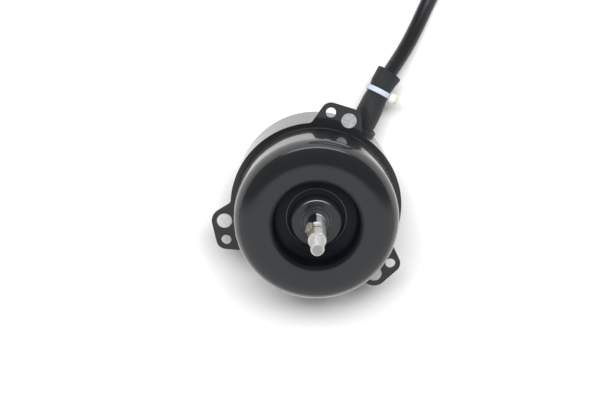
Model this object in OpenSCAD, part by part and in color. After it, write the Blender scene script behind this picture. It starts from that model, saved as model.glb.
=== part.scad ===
// Fan motor of an air conditioner: two drawn steel shells round an induction motor,
// with a stepped shaft out of the front and a sheathed lead out of the side.
// Origin: centre of the flange's front face, on the shaft axis. +Z runs towards the shaft's
// threaded end, and +Y runs through the middle of the first mounting ear.

/* [Shells] */
// Inner radius of both shells, where the stator core is pressed in
shell_inner_r = 36.6; // [35.6:0.2:38.6]
// Sheet thickness of the front shell
front_sheet = 0.8; // [0.6:0.1:1]
// Sheet thickness of the rear shell, its flange and its ears
rear_sheet = 1; // [0.8:0.1:1.2]
// Height of the front shell above the flange's front face
front_depth = 31.5; // [31:0.5:34]
// Depth of the rear shell below the flange's front face
rear_depth = 37.6; // [37.2:0.4:40]
// Outer corner radius of the front shell
front_corner_r = 10.7; // [7:0.1:11.5]
// Outer corner radius of the rear shell
rear_corner_r = 5; // [3:0.5:7]
// Outer radius of the mounting flange, between the ears
flange_r = 39.8; // [39.6:0.1:41]
// Outer radius of the front shell's turned lip
front_lip_r = 38.5; // [38.2:0.1:39.2]

/* [Wells] */
// Radius of the well's side wall, front and rear
well_r = 19.4; // [18.6:0.2:20]
// Depth of the well's floor below the end face
well_depth = 12.5; // [12:0.1:12.8]
// Radius of the well's rounded rim
well_rim_r = 2; // [1.4:0.1:2.4]
// Radius of the hollow corners on the well's floor
well_floor_r = 2; // [1.2:0.1:2.4]
// Rounding of the bearing pocket's end
pocket_round_r = 1.6; // [1.1:0.1:2.2]
// Radius of the hole in the front bearing pocket
front_eye_r = 7.3; // [6.6:0.1:8]

/* [Ears] */
// Number of mounting ears
ear_count = 3; // [2:1:4]
// Pitch radius of the large ear holes
large_pitch_r = 43.3; // [42.6:0.1:44.4]
// Radius of the large ear holes
large_hole_r = 3.6; // [3:0.1:4]
// Pitch radius of the small ear holes
small_pitch_r = 45.05; // [44.2:0.05:46]
// Radius of the small ear holes
small_hole_r = 2.3; // [1.8:0.1:2.6]
// Angle between an ear's two holes
ear_hole_angle = 11.7; // [11:0.1:13]
// Width of sheet left round each ear hole
ear_rim = 2.35; // [2:0.05:2.8]
// Half angle that an ear's root takes up on the flange
ear_root_angle = 17.8; // [16.5:0.1:20]
// Radius of the hollow corner at an ear's root
ear_root_r = 2.5; // [1:0.1:4]

/* [Bearings] */
// Outer radius of a bearing
bearing_r = 11; // [10.6:0.1:11.4]
// Width of a bearing
bearing_w = 7; // [6.6:0.1:7.4]
// Radius of the balls
ball_r = 1.98; // [1.8:0.02:2.1]
// Number of balls in a bearing
ball_count = 7; // [6:1:7]
// Height of the spring washer behind the rear bearing
washer_h = 0.8; // [0.6:0.1:1]

/* [Shaft] */
// Radius of the shaft
shaft_r = 4; // [3.8:0.1:4.2]
// Height of the shoulder where the threaded tip starts
shoulder_z = 53.65; // [50:0.05:58]
// Length of the threaded tip
tip_l = 12.6; // [9:0.1:16]
// Radius of the threaded tip
tip_r = 3; // [2.4:0.05:3.2]
// Distance from the shaft axis to the driving flat
flat_offset = 3.3; // [3.1:0.05:3.6]
// Length of the driving flat
flat_l = 15.2; // [10:0.1:20]
// Direction in which the driving flat faces
flat_angle = 110; // [0:5:180]

/* [Core] */
// Height of the stator and rotor cores
stack_h = 20; // [18:0.5:21]
// Height of the cores' front end above the flange's front face
stack_top_z = 12; // [11:0.5:12.5]
// Number of stator slots
slot_count = 16; // [12:1:18]
// Radius of the stator's bore
bore_r = 19; // [18.6:0.1:20]
// Radial gap between the rotor and the stator
air_gap = 0.3; // [0.25:0.05:0.5]
// Width of a stator tooth
tooth_w = 3.6; // [3:0.1:4.2]
// Radius of the bottom of the slots
slot_bottom_r = 29.5; // [28:0.1:30.5]
// Number of bars in the rotor cage
bar_count = 22; // [17:1:24]
// Radius of the rotor bars
bar_r = 1.3; // [1:0.05:1.5]
// Height of the rotor's end rings
end_ring_h = 4; // [3:0.1:4.4]

/* [Lead] */
// Radius of the sheathed cable
cable_r = 3.5; // [3:0.1:3.6]
// Direction of the cable outlet round the shaft axis
outlet_angle = 72.5; // [72:0.5:73]
// Height of the cable outlet, below the flange's front face
outlet_drop = 17; // [16.6:0.1:17.4]
// Outer radius of the sleeve on the cable
sleeve_r = 5.85; // [5.4:0.05:6.2]
// Wall of the sleeve
sleeve_wall = 1.15; // [0.8:0.05:1.3]
// Radius of the grommet's outer flange
grommet_r = 7.8; // [7.4:0.1:8.4]

/* [Hidden] */
$fn = 96;
// Names of the pieces
// Clearance left between pieces that are pressed or seated together
seat_gap = 0.02;
// Radial gap between the balls and their grooves
running_gap = 0.05;
// Extra length of a cutting solid beyond the face it cuts
over = 1;

// Shells
front_wall_r = shell_inner_r + front_sheet;
rear_wall_r = shell_inner_r + rear_sheet;
// Depth of a bearing pocket's end below its shell's end face
pocket_drop = 4.9;
// Radius of the bend under the rear flange, and of the rounding at its mouth
flange_bend_r = 1.5;
mouth_round_r = 0.8;
// Radius of the small bend at the front lip
lip_bend_r = 0.6;
// How far the round of an ear's root bites into the flange, and how deep the root's
// sheet reaches under the flange's edge
root_bite = 0.03;
root_depth = 0.5;

// Bearings, each given by the height of its lower face. The grooves take in this share
// of a ball's radius on each side, and the outer ring's corners clear the pocket's round.
ball_free = 0.72;
ring_chamfer = pocket_round_r - front_sheet;
front_bearing_z = front_depth - pocket_drop - front_sheet - bearing_w;
rear_bearing_z = -(rear_depth - pocket_drop - rear_sheet - washer_h);
pitch_r = (bearing_r + shaft_r) / 2;
groove_r = ball_r + running_gap;
inner_ring_r = pitch_r - ball_free * ball_r;
outer_ring_bore_r = pitch_r + ball_free * ball_r;
shield_t = 0.4;
shield_recess = 0.1;
shield_step_r = outer_ring_bore_r + 0.6;
shield_gap = 0.25;
cage_half_t = 0.4;
cage_half_h = ball_r + 0.5;

// Shaft
shaft_chamfer = 0.5;
tip_chamfer = 0.9;
ring_t = 0.8;
ring_groove_depth = 0.3;
ring_gap = 0.05;
front_ring_z = front_bearing_z - ring_gap - ring_t;
rear_ring_z = rear_bearing_z + bearing_w + ring_gap;
spacer_wall = 1.6;
// The hub's seat, which has the driving flat, is ground just under the bar's size to slide on
flat_z = shoulder_z - flat_l;
hub_seat_r = shaft_r - 0.02;
// Grinding relief that parts the front bearing's seat from the shaft's free end
relief_depth = 0.25;
relief_w = 1.6;
relief_z = front_bearing_z + bearing_w + 0.1;

// Cores
stack_z = stack_top_z - stack_h;
core_r = shell_inner_r - seat_gap;
rotor_r = bore_r - air_gap;
slot_pitch = 360 / slot_count;
slot_top_r = bore_r + 1.2;
slot_mouth = 2.2;
liner_t = 0.3;
liner_extra = 1.5;
wedge_t = 0.7;
bar_pitch_r = rotor_r - bar_r - 0.7;
end_ring_bore_r = bar_pitch_r - bar_r - 3.4;
end_ring_inset = 0.4;

// Slots in one pole's share of the two windings, the first half of them the main one's
pole_slots = 4;
// End turns of the two windings
turn_lift = 2.5;
turn_h = 10;
main_turn_r = [26.6, 31.2];
aux_turn_r = [21.8, 26.1];
turn_round_r = 1.8;

// Outlet of the lead
outlet_z = -outlet_drop;
grommet_neck_r = sleeve_r + 1;
outlet_hole_r = grommet_neck_r + seat_gap;
grommet_flange_t = 3.4;
grommet_lip_t = 1.4;
grommet_round_r = 0.8;
// Play of the grommet's inner lip behind the curve of the wall, and how far that lip
// stands out from the neck
grommet_play = 1.2;
grommet_lip_rise = 0.6;

// Route of the cable: out of the outlet, down to the surface that the motor stands on,
// and along it to the coil
cable_route = [[10.8, 34.1, -17], [11.6, 36.8, -17], [12.9, 41, -17], [13.9, 46, -17.2],
    [14.8, 51, -17.8], [15.8, 56, -18.9], [17.1, 60.7, -20.3], [18.8, 65.2, -22],
    [20.8, 70.2, -24.2], [22.9, 75.7, -26.8], [24.6, 81, -29.1], [26, 86.5, -31.2],
    [27.2, 92, -32.8], [28.2, 97.5, -33.8], [29.2, 103, -34.1], [30.8, 111, -34.1],
    [32.4, 119.5, -33.9], [34, 128, -33.5], [35.5, 137, -33.2]];
// Point of the route at which the sleeve is tied, and the tie's strap and head
tie_point = 5;
tie_w = 2.5;
tie_t = 1.1;
tie_head = [4.6, 4.2, 4.2];
// How much the sleeve is drawn in where it is tied, with a straight waist under the strap
waist_in = 0.9;
waist_half = 1.5;
waist_r = sleeve_r - waist_in;
sleeve_radii = [sleeve_r, sleeve_r, sleeve_r, sleeve_r, sleeve_r - waist_in / 3, waist_r,
    waist_r, sleeve_r - waist_in / 4, sleeve_r + waist_in / 4];

// Coil of the lead: two turns side by side and a third on top of them
coil_at = [-7, 146];
coil_r = 40;
coil_lift = 0.9;
coil_z = -rear_depth + coil_lift + cable_r;
coil_entry_angle = -12;
end_sleeve_r = cable_r + 0.4;
coil_step = sqrt(pow(cable_r + end_sleeve_r, 2) - cable_r * cable_r) + seat_gap;
top_turn_from = 255;
top_turn_to = 525;
end_sleeve_angle = 14;
core_lead_r = 0.85;
core_lead_angle = 21;
core_in = 2.5;
coil_tie_angle = 60;
coil_tie_t = 0.8;
coil_tie_gap = 0.05;

// Connector at the end of the lead, which lies on the coil's low turns with its cavities
// level with the cores
housing_l = 14;
housing_w = 10.4;
housing_h = 2 * (coil_step - cable_r - seat_gap);
cavity_w = 2.1;
cavity_h = 3;
cavity_pitch = 2.5;
latch = [4, 8, 1.2];
rib_w = 0.9;
pin_w = 1.6;
pin_h = 2;
pin_end = 11;
pin_wall = 0.3;
crimp_l = 3;

// Cross-section of a drawn cup that holds a well with a bearing pocket in it. It is
// drawn from the open mouth at 0 up to the end face, and t is how far it lies inside
// the outer skin.
module cup_profile(t, wall_r, end_z, corner_r, pocket_r, skirt) {
    floor_z = end_z - well_depth - t;
    hollow_r = well_floor_r + t;
    rim_r = well_rim_r - t;
    side_r = well_r + t;
    top_z = end_z - t;
    bend_r = corner_r - t;
    out_r = wall_r - t;
    seat_r = pocket_r - t;
    seat_z = end_z - pocket_drop - t;
    nose_r = pocket_round_r - t;
    difference() {
        union() {
            translate([0, -skirt]) square([out_r, top_z - bend_r + skirt]);
            square([out_r - bend_r, top_z]);
            translate([out_r - bend_r, top_z - bend_r]) circle(bend_r);
        }
        translate([-over, floor_z + hollow_r]) square([side_r + over, well_depth + over]);
        translate([-over, floor_z]) square([side_r - hollow_r + over, well_depth + over]);
        translate([side_r - hollow_r, floor_z + hollow_r]) circle(hollow_r);
        difference() {
            translate([side_r, top_z - rim_r]) square([rim_r, rim_r + over]);
            translate([side_r + rim_r, top_z - rim_r]) circle(rim_r);
        }
    }
    square([seat_r, seat_z - nose_r]);
    square([seat_r - nose_r, seat_z]);
    translate([seat_r - nose_r, seat_z - nose_r]) circle(nose_r);
    difference() {
        translate([0, floor_z - hollow_r]) square([seat_r + hollow_r, 2 * hollow_r]);
        translate([seat_r + hollow_r, floor_z + hollow_r]) circle(hollow_r);
    }
}

// Small hollow bend of radius r in the corner at the left and bottom
module bend(r) {
    difference() {
        translate([-r / 4, -r / 4]) square(r * 1.25);
        translate([r, r]) circle(r);
    }
}

module front_shell() {
    color("#3c3e41") rotate_extrude() difference() {
        union() {
            cup_profile(0, front_wall_r, front_depth, front_corner_r,
                bearing_r + seat_gap + front_sheet, 0);
            square([front_lip_r, front_sheet]);
            translate([front_wall_r, front_sheet]) bend(lip_bend_r);
        }
        cup_profile(front_sheet, front_wall_r, front_depth, front_corner_r,
            bearing_r + seat_gap + front_sheet, over);
        translate([-over, 0]) square([front_eye_r + over, front_depth + over]);
    }
}

// Point at distance r from the axis, at angle a clockwise from the middle of an ear
function on_ear(r, a) = [r * sin(a), r * cos(a)];
// Point where a line from p touches the circle of radius r round c, on side s of it
function touch(p, c, r, s) = let (d = c - p, l = norm(d), a = s * asin(r / l))
    p + sqrt(l * l - r * r) / l * [d.x * cos(a) - d.y * sin(a), d.x * sin(a) + d.y * cos(a)];
// Direction square to the line that touches two circles on their outer side
function shared_normal(c1, r1, c2, r2) = let (d = c2 - c1, l = norm(d), k = (r1 - r2) / l)
    [d.x * k + d.y * sqrt(1 - k * k), d.y * k - d.x * sqrt(1 - k * k)] / l;

// Hollow corner where an ear's side, from p in direction d, meets the flange
module ear_root(p, d, s) {
    n = s * [d.y, -d.x];
    q = p + n * ear_root_r;
    b = d * q;
    t = -b + sqrt(b * b - q * q + pow(flange_r + ear_root_r - root_bite, 2));
    c = q + d * t;
    difference() {
        polygon([p * (1 - root_depth / norm(p)), p + d * t - n * root_depth, p + d * t, c,
            c * (flange_r - root_depth) / norm(c)]);
        translate(c) circle(ear_root_r);
    }
}

module ear_outline() {
    large_at = on_ear(large_pitch_r, ear_hole_angle / 2);
    small_at = on_ear(small_pitch_r, -ear_hole_angle / 2);
    large_r = large_hole_r + ear_rim;
    small_r = small_hole_r + ear_rim;
    large_root = on_ear(flange_r, ear_root_angle);
    small_root = on_ear(flange_r, -ear_root_angle);
    large_touch = touch(large_root, large_at, large_r, -1);
    small_touch = touch(small_root, small_at, small_r, 1);
    n = shared_normal(large_at, large_r, small_at, small_r);
    inside = 1 - 2 * root_depth / flange_r;
    difference() {
        union() {
            polygon([large_root * inside, large_root, large_touch, large_at + large_r * n,
                small_at + small_r * n, small_touch, small_root, small_root * inside]);
            translate(large_at) circle(large_r);
            translate(small_at) circle(small_r);
            ear_root(large_root, (large_touch - large_root) / norm(large_touch - large_root), 1);
            ear_root(small_root, (small_touch - small_root) / norm(small_touch - small_root), -1);
        }
        translate(large_at) circle(large_hole_r);
        translate(small_at) circle(small_hole_r);
    }
}

// Places its children on the outlet's axis, with their own axis pointing outwards
module at_outlet() {
    rotate([0, 0, outlet_angle]) translate([0, 0, outlet_z]) rotate([0, 90, 0]) children();
}

module rear_shell() {
    color("#3c3e41") difference() {
        union() {
            rotate_extrude() mirror([0, 1]) difference() {
                union() {
                    cup_profile(0, rear_wall_r, rear_depth, rear_corner_r,
                        bearing_r + seat_gap + rear_sheet, 0);
                    square([flange_r, rear_sheet]);
                    translate([rear_wall_r, rear_sheet]) bend(flange_bend_r);
                }
                cup_profile(rear_sheet, rear_wall_r, rear_depth, rear_corner_r,
                    bearing_r + seat_gap + rear_sheet, over);
                translate([shell_inner_r, 0]) bend(mouth_round_r);
            }
            for (i = [0:ear_count - 1]) rotate([0, 0, i * 360 / ear_count])
                translate([0, 0, -rear_sheet]) linear_extrude(rear_sheet) ear_outline();
        }
        at_outlet() translate([0, 0, shell_inner_r / 2])
            cylinder(h = rear_wall_r, r = outlet_hole_r);
    }
}

// Outline of stator slot 0, drawn in by d on every side
module slot_outline(d, from_r = slot_top_r, to_r = slot_bottom_r) {
    a = slot_pitch / 2;
    side = tooth_w / 2 / cos(a) + d / cos(a);
    w1 = (from_r + d) * tan(a) - side;
    w2 = (to_r - d) * tan(a) - side;
    polygon([[from_r + d, -w1], [to_r - d, -w2], [to_r - d, w2], [from_r + d, w1]]);
}

module in_slots(slots) {
    for (i = slots) rotate([0, 0, i * slot_pitch]) children();
}

module stator_core() {
    color("#8d9094") translate([0, 0, stack_z]) linear_extrude(stack_h) difference() {
        circle(core_r);
        circle(bore_r);
        in_slots([0:slot_count - 1]) {
            slot_outline(0);
            translate([bore_r - over, -slot_mouth / 2])
                square([slot_top_r - bore_r + over + 0.1, slot_mouth]);
        }
    }
}

module slot_liners() {
    color("#e8e2cf") translate([0, 0, stack_z - liner_extra])
        linear_extrude(stack_h + 2 * liner_extra) in_slots([0:slot_count - 1]) difference() {
            slot_outline(seat_gap);
            slot_outline(seat_gap + liner_t);
            translate([slot_top_r - over, -slot_mouth / 2]) square([2 * over, slot_mouth]);
        }
}

module slot_wedges() {
    inset = 2 * seat_gap + liner_t;
    color("#d9c27a") translate([0, 0, stack_z - liner_extra])
        linear_extrude(stack_h + 2 * liner_extra) in_slots([0:slot_count - 1])
            slot_outline(inset, slot_top_r, slot_top_r + 2 * inset + wedge_t);
}

// The copper in one slot, outside its wedge and inside its liner
module slot_copper() {
    inset = 3 * seat_gap + liner_t;
    slot_outline(inset, slot_top_r + liner_t + wedge_t + 2 * seat_gap);
}

// One winding: copper legs in its slots, and a bundle of end turns at each end
module winding(slots, turn_r) {
    reach = turn_lift - 0.5;
    translate([0, 0, stack_z - reach]) linear_extrude(stack_h + 2 * reach)
        in_slots(slots) slot_copper();
    translate([0, 0, stack_z - turn_lift - 0.5]) linear_extrude(stack_h + 2 * turn_lift + 1)
        intersection() {
            in_slots(slots) slot_copper();
            difference() {
                circle(turn_r[1] - 0.2);
                circle(turn_r[0] + 0.2);
            }
        }
    for (z = [stack_z - turn_lift - turn_h, stack_top_z + turn_lift]) translate([0, 0, z])
        rotate_extrude() end_turn_profile(turn_r);
}

module end_turn_profile(turn_r) {
    w = turn_r[1] - turn_r[0];
    translate([turn_r[0], turn_round_r]) square([w, turn_h - 2 * turn_round_r]);
    translate([turn_r[0] + turn_round_r, 0]) square([w - 2 * turn_round_r, turn_h]);
    for (x = [turn_round_r, w - turn_round_r], y = [turn_round_r, turn_h - turn_round_r])
        translate([turn_r[0] + x, y]) circle(turn_round_r);
}

module main_winding() {
    color("#b4602c") winding([for (i = [0:slot_count - 1]) if (i % pole_slots < pole_slots / 2) i], main_turn_r);
}

module auxiliary_winding() {
    color("#a4522a") winding([for (i = [0:slot_count - 1]) if (i % pole_slots >= pole_slots / 2) i], aux_turn_r);
}

module bearing_outer_ring(z) {
    color("#b9bcc0") translate([0, 0, z]) rotate_extrude() difference() {
        polygon([[outer_ring_bore_r, 0], [bearing_r - ring_chamfer, 0],
            [bearing_r, ring_chamfer], [bearing_r, bearing_w - ring_chamfer],
            [bearing_r - ring_chamfer, bearing_w], [outer_ring_bore_r, bearing_w]]);
        translate([pitch_r, bearing_w / 2]) circle(groove_r);
        for (y = [-over, bearing_w - shield_t - 2 * shield_recess]) translate([0, y])
            square([shield_step_r, shield_t + 2 * shield_recess + over]);
    }
}

module bearing_inner_ring(z) {
    color("#c3c6ca") translate([0, 0, z]) rotate_extrude() difference() {
        translate([shaft_r + seat_gap, 0])
            square([inner_ring_r - shaft_r - seat_gap, bearing_w]);
        translate([pitch_r, bearing_w / 2]) circle(groove_r);
    }
}

// Places its children at the centre of each ball of the bearing at height z
module at_balls(z) {
    for (i = [0:ball_count - 1]) rotate([0, 0, i * 360 / ball_count])
        translate([pitch_r, 0, z + bearing_w / 2]) children();
}

module bearing_balls(z) {
    color("#d5d8db") at_balls(z) sphere(ball_r);
}

module bearing_cage(z) {
    color("#a8a294") difference() {
        translate([0, 0, z + bearing_w / 2 - cage_half_h]) rotate_extrude()
            translate([pitch_r - cage_half_t, 0]) square([2 * cage_half_t, 2 * cage_half_h]);
        at_balls(z) sphere(groove_r);
    }
}

module bearing_shields(z) {
    color("#9da0a4")
        for (y = [shield_recess, bearing_w - shield_recess - shield_t])
            translate([0, 0, z + y]) rotate_extrude()
                translate([inner_ring_r + shield_gap, 0])
                    square([shield_step_r - seat_gap - inner_ring_r - shield_gap, shield_t]);
}

module front_bearing_outer_ring() { bearing_outer_ring(front_bearing_z); }
module front_bearing_inner_ring() { bearing_inner_ring(front_bearing_z); }
module front_bearing_balls() { bearing_balls(front_bearing_z); }
module front_bearing_cage() { bearing_cage(front_bearing_z); }
module front_bearing_shields() { bearing_shields(front_bearing_z); }
module rear_bearing_outer_ring() { bearing_outer_ring(rear_bearing_z); }
module rear_bearing_inner_ring() { bearing_inner_ring(rear_bearing_z); }
module rear_bearing_balls() { bearing_balls(rear_bearing_z); }
module rear_bearing_cage() { bearing_cage(rear_bearing_z); }
module rear_bearing_shields() { bearing_shields(rear_bearing_z); }

// Spring washer with three waves, between the rear pocket's end and its bearing
washer_t = 0.3;
washer_r = [7.4, 10.4];
washer_steps = 48;
function washer_ring(r, z) = [for (i = [0:washer_steps - 1])
    let (a = i * 360 / washer_steps)
    [r * cos(a), r * sin(a), z + (washer_h - washer_t) * (1 - cos(3 * a)) / 2]];

module wave_washer() {
    n = washer_steps;
    z = rear_bearing_z - washer_h;
    color("#8f9296") polyhedron(
        concat(washer_ring(washer_r[0], z), washer_ring(washer_r[1], z),
            washer_ring(washer_r[1], z + washer_t), washer_ring(washer_r[0], z + washer_t)),
        [for (k = [0:3], i = [0:n - 1]) let (j = (i + 1) % n, m = (k + 1) % 4)
            each [[k * n + i, m * n + j, m * n + i], [k * n + i, k * n + j, m * n + j]]]);
}

module shaft() {
    tip_z = shoulder_z + tip_l;
    color("#c4c6c9") rotate([0, 0, flat_angle]) difference() {
        rotate_extrude() polygon([[0, rear_bearing_z], [shaft_r - shaft_chamfer, rear_bearing_z],
            [shaft_r, rear_bearing_z + shaft_chamfer], [shaft_r, flat_z], [hub_seat_r, flat_z],
            [hub_seat_r, shoulder_z - shaft_chamfer], [hub_seat_r - shaft_chamfer, shoulder_z],
            [tip_r, shoulder_z],
            [tip_r, tip_z - tip_chamfer], [tip_r - tip_chamfer, tip_z], [0, tip_z]]);
        for (z = [front_ring_z, rear_ring_z]) translate([0, 0, z]) rotate_extrude()
            translate([shaft_r - ring_groove_depth, -ring_gap / 2])
                square([over, ring_t + ring_gap]);
        translate([0, 0, relief_z]) rotate_extrude()
            translate([shaft_r - relief_depth, 0]) square([over, relief_w]);
        translate([flat_offset, -shaft_r, flat_z]) cube([shaft_r, 2 * shaft_r, flat_l + tip_l + over]);
    }
}

module retaining_ring(z) {
    inner_r = shaft_r - ring_groove_depth + seat_gap;
    outer_r = inner_ring_r - 0.2;
    color("#54575b") translate([0, 0, z]) linear_extrude(ring_t) difference() {
        circle(outer_r);
        circle(inner_r);
        polygon([[0, 0], [2 * outer_r, -1.5 * outer_r], [2 * outer_r, 1.5 * outer_r]]);
    }
}

module front_retaining_ring() { retaining_ring(front_ring_z); }
module rear_retaining_ring() { retaining_ring(rear_ring_z); }

module spacer(from_z, to_z) {
    color("#e9e9e4") translate([0, 0, from_z]) linear_extrude(to_z - from_z) difference() {
        circle(shaft_r + spacer_wall);
        circle(shaft_r + seat_gap);
    }
}

module front_spacer() { spacer(stack_top_z + ring_gap, front_ring_z - ring_gap); }
module rear_spacer() { spacer(rear_ring_z + ring_t + ring_gap, stack_z - ring_gap); }

module rotor_core() {
    color("#83868a") translate([0, 0, stack_z]) linear_extrude(stack_h) difference() {
        circle(rotor_r);
        circle(shaft_r + seat_gap);
        for (i = [0:bar_count - 1]) rotate([0, 0, i * 360 / bar_count])
            translate([bar_pitch_r, 0]) circle(bar_r + seat_gap);
    }
}

module rotor_cage() {
    color("#c9ccce") {
        for (z = [stack_z - end_ring_h, stack_top_z]) translate([0, 0, z])
            linear_extrude(end_ring_h) difference() {
                circle(rotor_r - end_ring_inset);
                circle(end_ring_bore_r);
            }
        for (i = [0:bar_count - 1]) rotate([0, 0, i * 360 / bar_count])
            translate([bar_pitch_r, 0, stack_z - end_ring_h / 2])
                cylinder(h = stack_h + end_ring_h, r = bar_r);
    }
}

// Thermal fuse, tied on the rear end turns
fuse_r = 2;
fuse_l = 11;
fuse_angle = 200;
module thermal_fuse() {
    z = stack_z - turn_lift - turn_h - 0.1 - fuse_r;
    color("#ded9c8") rotate([0, 0, fuse_angle])
        translate([(main_turn_r[0] + main_turn_r[1]) / 2, fuse_l / 2, z]) rotate([90, 0, 0])
            cylinder(h = fuse_l, r = fuse_r);
}

// Sleeves over the joints between the lead's cores and the windings
splice_r = 1.5;
splice_at_r = [29.6, 26.3, 23];
splice_from = 20;
splice_to = 50;
// Angle that keeps the lead's cores side by side, clockwise for the outermost
lead_spread = 3.6;
function lead_turn(k) = (1 - k) * lead_spread;
splice_z = stack_z - turn_lift - turn_h - 0.1 - splice_r;
module splice_sleeves() {
    color("#efe9d2") for (k = [0:len(splice_at_r) - 1]) translate([0, 0, splice_z])
        rotate([0, 0, outlet_angle - lead_turn(k) - splice_to])
            rotate_extrude(angle = splice_to - splice_from)
                translate([splice_at_r[k], 0]) circle(splice_r);
}

// Rings of a tube of radius r[i] round the points of a route, n sides each
function frame_of(t) = let (u = cross(t, abs(t.z) < 0.9 ? [0, 0, 1] : [1, 0, 0]), v = u / norm(u))
    [v, cross(v, t)];
function heading(p, i) = let (a = max(i - 1, 0), b = min(i + 1, len(p) - 1), d = p[b] - p[a])
    d / norm(d);
function tube_points(p, r, n) = [for (i = [0:len(p) - 1]) let (f = frame_of(heading(p, i)))
    for (k = [0:n - 1]) let (a = k * 360 / n) p[i] + r[i] * (cos(a) * f[0] + sin(a) * f[1])];
function skin_faces(rings, n, first, s) = [for (i = [0:rings - 2], k = [0:n - 1])
    let (a = first + i * n + k, b = first + i * n + (k + 1) % n)
    each s > 0 ? [[a, a + n, b + n], [a, b + n, b]] : [[a, b + n, a + n], [a, b, b + n]]];

module tube(p, r, n) {
    m = len(p) * n;
    polyhedron(tube_points(p, r, n), concat(skin_faces(len(p), n, 0, 1),
        [[for (k = [0:n - 1]) k]], [[for (k = [0:n - 1]) m - 1 - k]]));
}

// A tube with a bore through it
module pipe(p, r, bore, n) {
    m = len(p) * n;
    polyhedron(concat(tube_points(p, r, n), tube_points(p, bore, n)),
        concat(skin_faces(len(p), n, 0, 1), skin_faces(len(p), n, m, -1),
            [for (k = [0:n - 1]) let (j = (k + 1) % n) each [[k, j, m + j], [k, m + j, m + k]]],
            [for (k = [0:n - 1]) let (a = m - n + k, b = m - n + (k + 1) % n)
                each [[a, m + b, b], [a, m + a, m + b]]]));
}

// Route of one of the lead's cores: down beside the end turns, in under them, and round
// to its splice
lead_steps = 6;
lead_r = 0.75;
function lead_point(r, a, z) = [r * cos(a), r * sin(a), z];
function lead_route(k) = let (a = outlet_angle - lead_turn(k), r = splice_at_r[k])
    concat([lead_point(shell_inner_r - 1.5, a, outlet_z),
        lead_point(shell_inner_r - 2.3, a, outlet_z - 0.6),
        lead_point(shell_inner_r - 3, a, outlet_z - 2.4),
        lead_point(shell_inner_r - 3.5, a, (outlet_z + splice_z) / 2 - 1.7),
        lead_point(shell_inner_r - 4.6, a, splice_z),
        lead_point(r + 1.4, a, splice_z), lead_point(r + 0.4, a - 1.4, splice_z)],
        [for (i = [1:lead_steps]) lead_point(r, a - splice_from * i / lead_steps, splice_z)]);

module inner_leads() {
    color("#c7352b") for (k = [0:len(splice_at_r) - 1])
        tube(lead_route(k), [for (p = lead_route(k)) lead_r], 8);
}

module grommet_flange() {
    h = grommet_flange_t;
    at_outlet() translate([0, 0, rear_wall_r + seat_gap]) rotate_extrude() {
        square([grommet_r - grommet_round_r, h]);
        square([grommet_r, h - grommet_round_r]);
        translate([grommet_r - grommet_round_r, h - grommet_round_r]) circle(grommet_round_r);
    }
}

module cable_grommet() {
    inner_z = shell_inner_r - grommet_play - grommet_lip_t;
    color("#2a2b2d") difference() {
        union() {
            grommet_flange();
            at_outlet() translate([0, 0, inner_z + grommet_lip_t / 2])
                cylinder(h = rear_wall_r + over / 2 - inner_z - grommet_lip_t / 2, r = grommet_neck_r);
            intersection() {
                at_outlet() translate([0, 0, inner_z])
                    cylinder(h = grommet_lip_t + grommet_play, r = grommet_neck_r + grommet_lip_rise);
                cylinder(h = 4 * rear_depth, r = shell_inner_r - seat_gap, center = true);
            }
        }
        at_outlet() translate([0, 0, shell_inner_r / 2])
            cylinder(h = rear_wall_r, r = sleeve_r + seat_gap);
    }
}

module cable_sleeve() {
    along = heading(cable_route, tie_point) * waist_half;
    points = concat([for (i = [0:tie_point - 1]) cable_route[i]],
        [cable_route[tie_point] - along, cable_route[tie_point] + along],
        [for (i = [tie_point + 1:len(sleeve_radii) - 2]) cable_route[i]]);
    color("#2c2e30") pipe(points, sleeve_radii, [for (r = sleeve_radii) r - sleeve_wall], 16);
}

// Places its children at a point, with their own axis in direction d
module facing(p, d) {
    translate(p) rotate([0, acos(d.z / norm(d)), atan2(d.y, d.x)]) children();
}

module zip_tie() {
    r = waist_r + 2 * seat_gap;
    color("#e4e8ee") facing(cable_route[tie_point], heading(cable_route, tie_point)) {
        translate([0, 0, -tie_w / 2]) linear_extrude(tie_w) difference() {
            circle(r + tie_t);
            circle(r);
        }
        translate([-tie_head.x / 2, -(r + 0.2 + tie_head.y), -tie_head.z / 2]) cube(tie_head);
    }
}

module cable_run() {
    color("#242628") tube(cable_route, [for (p = cable_route) cable_r], 12);
}

// Places its children on the coil's axis, turned to angle a from its entry
module at_coil(a, z = 0) {
    translate([coil_at.x, coil_at.y, coil_z + z]) rotate([0, 0, coil_entry_angle + a]) children();
}

module cable_coil() {
    color("#242628") {
        at_coil(0) rotate_extrude() {
            translate([coil_r - cable_r, -cable_r]) square([2 * cable_r, cable_r]);
            for (s = [-1, 1]) translate([coil_r + s * cable_r, 0]) circle(cable_r);
        }
        at_coil(top_turn_from, coil_step) rotate_extrude(angle = top_turn_to - top_turn_from)
            translate([coil_r, 0]) circle(cable_r);
        at_coil(top_turn_from) rotate_extrude(angle = top_turn_to - end_sleeve_angle - top_turn_from)
            translate([coil_r - cable_r / 2, -cable_r / 2]) square([cable_r, coil_step]);
    }
}

// Outline of the coil's three turns where they are tied, grown by d
module bundle(d) {
    r = cable_r + d;
    x = cable_r;
    n = r * [coil_step, x] / norm([coil_step, x]);
    for (s = [-1, 1]) translate([coil_r + s * x, 0]) circle(r);
    translate([coil_r, coil_step]) circle(r);
    polygon([[coil_r - x, -r], [coil_r + x, -r], [coil_r + x + n.x, n.y],
        [coil_r + n.x, coil_step + n.y], [coil_r - n.x, coil_step + n.y],
        [coil_r - x - n.x, n.y]]);
}

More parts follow.
